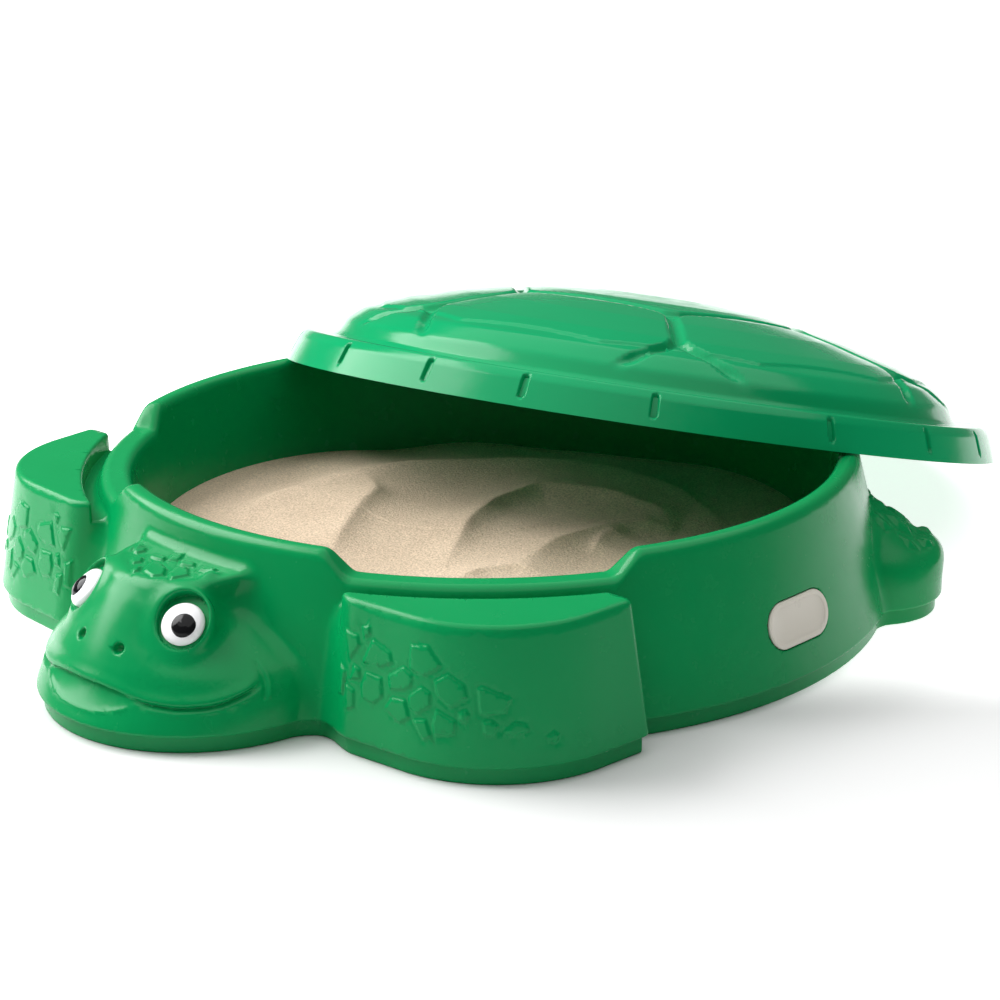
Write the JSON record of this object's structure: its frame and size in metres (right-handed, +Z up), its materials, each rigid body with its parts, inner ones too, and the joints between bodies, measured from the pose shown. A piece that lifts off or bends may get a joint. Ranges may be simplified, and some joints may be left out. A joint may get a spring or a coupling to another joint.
{
  "type": "sandbox with cover",
  "caption": "Turtle-shaped moulded sandbox holding play sand, with its lift-off shell cover slid back and leaning on the rim.",
  "frame": {"origin": "on the floor under the centre of the round tub", "axes": "-Y towards the turtle's head, +X towards the turtle's own left side, +Z up"},
  "size_m": [1.0262, 1.4461, 0.3137],
  "materials": {
    "tub_green": "moulded, satin",
    "cover_green": "moulded, gloss",
    "eye_white": "gloss",
    "eye_black": "high gloss",
    "badge": "satin",
    "sand": "loose dry grains"
  },
  "bodies": {
    "base": {"tub": "tub_green", "eye_white_left": "eye_white", "eye_white_right": "eye_white", "eye_pupil_left": "eye_black", "eye_pupil_right": "eye_black", "badge_plate": "badge", "sand_fill": "sand"},
    "cover": {"lid": "cover_green"}
  },
  "joints": [
    {"name": "cover_lift", "type": "slide", "parent": "base", "child": "cover", "axis": [0, 0, 1], "range_m": [0, 0.45]}
  ]
}
